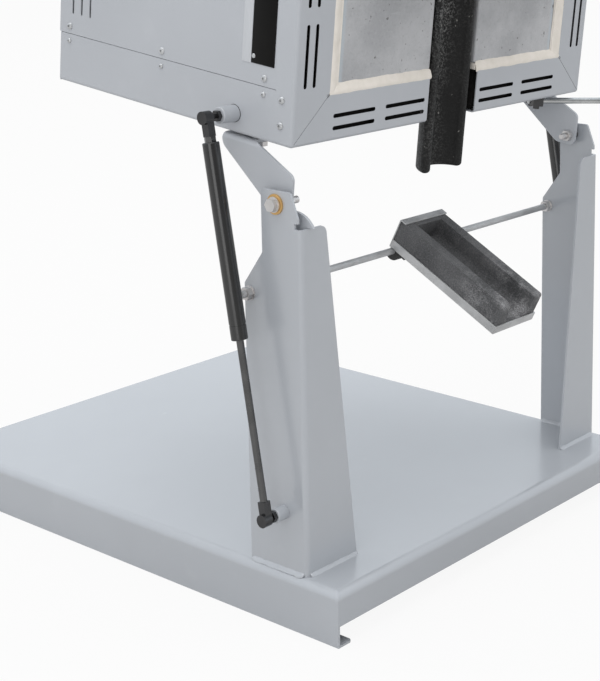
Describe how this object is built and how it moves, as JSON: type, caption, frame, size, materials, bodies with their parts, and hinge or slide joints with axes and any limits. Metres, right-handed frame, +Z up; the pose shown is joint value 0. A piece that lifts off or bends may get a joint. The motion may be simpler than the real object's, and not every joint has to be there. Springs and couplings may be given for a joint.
{
  "type": "tilting melting furnace",
  "caption": "Bench-top melting furnace with a heated square casing that tips between two uprights, a pouring spout, gas struts, a tilt lever and a hinged pouring chute.",
  "frame": {"origin": "centre of the four bench-fixing holes, which is the middle of the base's footprint, on the floor", "axes": "+Z up, -Y towards the side that the furnace pours to, X across, with the tilt lever on the +X side; shown in the pouring pose"},
  "size_m": [0.8143, 0.768, 1.157],
  "materials": {
    "casing_grey": "smooth light grey powder coat",
    "stand_grey": "smooth light grey powder coat",
    "zinc_steel": "zinc plated",
    "brass": "turned",
    "rubber": "moulded",
    "refractory": "cast, fine grained",
    "mortar": "trowelled",
    "graphite": "clay bonded, slightly sparkling",
    "fibre": "needled fibre board",
    "heater_ceramic": "fired",
    "black_steel": "black gloss paint",
    "bright_rod": "ground and plated",
    "grip_black": "moulded",
    "block_grey": "machined, worn in the groove"
  },
  "bodies": {
    "stand": {"base_tray": "stand_grey", "left_upright": "stand_grey", "right_upright": "stand_grey", "crossbar": "zinc_steel", "crossbar_nuts": "zinc_steel", "pivot_bushes": "brass", "lower_strut_spacers": "casing_grey", "lower_ball_studs": "zinc_steel"},
    "furnace": {"left_hinge_bracket": "casing_grey", "right_hinge_bracket": "casing_grey", "bracket_bolts": "zinc_steel", "pivot_bolts": "zinc_steel", "pivot_nuts": "zinc_steel", "front_wall": "casing_grey", "left_side_panel": "casing_grey", "right_side_panel": "casing_grey", "back_wall": "casing_grey", "bottom_plate": "casing_grey", "feet": "rubber", "top_frame": "casing_grey", "left_slab": "refractory", "right_slab": "refractory", "mortar_joint": "mortar", "crucible": "graphite", "pouring_spout": "graphite", "crucible_stand": "refractory", "insulation": "fibre", "heating_elements": "heater_ceramic", "thermocouple": "heater_ceramic", "terminal_box": "casing_grey", "cable_gland": "grip_black", "casing_screws": "zinc_steel", "upper_strut_spacers": "casing_grey", "tilt_lever": "zinc_steel", "lever_grip": "grip_black", "lever_clamp": "black_steel", "lid_hinge_base": "zinc_steel", "lid_hinge_pin": "zinc_steel"},
    "lid": {"lid_shell": "casing_grey", "lid_insulation": "fibre", "lid_handle": "zinc_steel", "lid_handle_grip": "grip_black", "lid_hinge_arm": "zinc_steel"},
    "chute": {"chute_tray": "zinc_steel", "chute_end_clip": "zinc_steel", "chute_block": "block_grey", "chute_clamp": "black_steel"},
    "left_strut_rod": {"left_rod": "bright_rod", "left_lower_socket": "zinc_steel"},
    "left_strut_cylinder": {"left_cylinder": "black_steel", "left_upper_joint": "zinc_steel"},
    "right_strut_rod": {"right_rod": "bright_rod", "right_lower_socket": "zinc_steel"},
    "right_strut_cylinder": {"right_cylinder": "black_steel", "right_upper_joint": "zinc_steel"}
  },
  "joints": [
    {"name": "furnace_tilt", "type": "hinge", "parent": "stand", "child": "furnace", "pos_m": [0, -0.266, 0.4665], "axis": [-1, 0, 0], "range_deg": [0, 96.4]},
    {"name": "lid_hinge", "type": "hinge", "parent": "furnace", "child": "lid", "pos_m": [0, -0.34091, 0.98558], "axis": [-1, 0, 0], "range_deg": [0, 100]},
    {"name": "chute_swing", "type": "hinge", "parent": "stand", "child": "chute", "pos_m": [0, -0.225, 0.365], "axis": [1, 0, 0], "range_deg": [-27, 60]},
    {"name": "left_strut_swing", "type": "hinge", "parent": "stand", "child": "left_strut_rod", "pos_m": [-0.304, -0.2688, 0.1291], "axis": [-1, 0, 0], "range_deg": [0, 7.88]},
    {"name": "left_strut_stroke", "type": "slide", "parent": "left_strut_rod", "child": "left_strut_cylinder", "axis": [0, -0.1694, -0.9855], "range_m": [0, 0.16081]},
    {"name": "right_strut_swing", "type": "hinge", "parent": "stand", "child": "right_strut_rod", "pos_m": [0.304, -0.2688, 0.1291], "axis": [-1, 0, 0], "range_deg": [0, 7.88]},
    {"name": "right_strut_stroke", "type": "slide", "parent": "right_strut_rod", "child": "right_strut_cylinder", "axis": [0, -0.1694, -0.9855], "range_m": [0, 0.16081]}
  ],
  "couplings": [
    {"joint": "left_strut_swing", "follows": "furnace_tilt", "ratio": 0.081665},
    {"joint": "left_strut_stroke", "follows": "furnace_tilt", "m_per_rad": 0.095458},
    {"joint": "right_strut_swing", "follows": "furnace_tilt", "ratio": 0.081665},
    {"joint": "right_strut_stroke", "follows": "furnace_tilt", "m_per_rad": 0.095458}
  ]
}
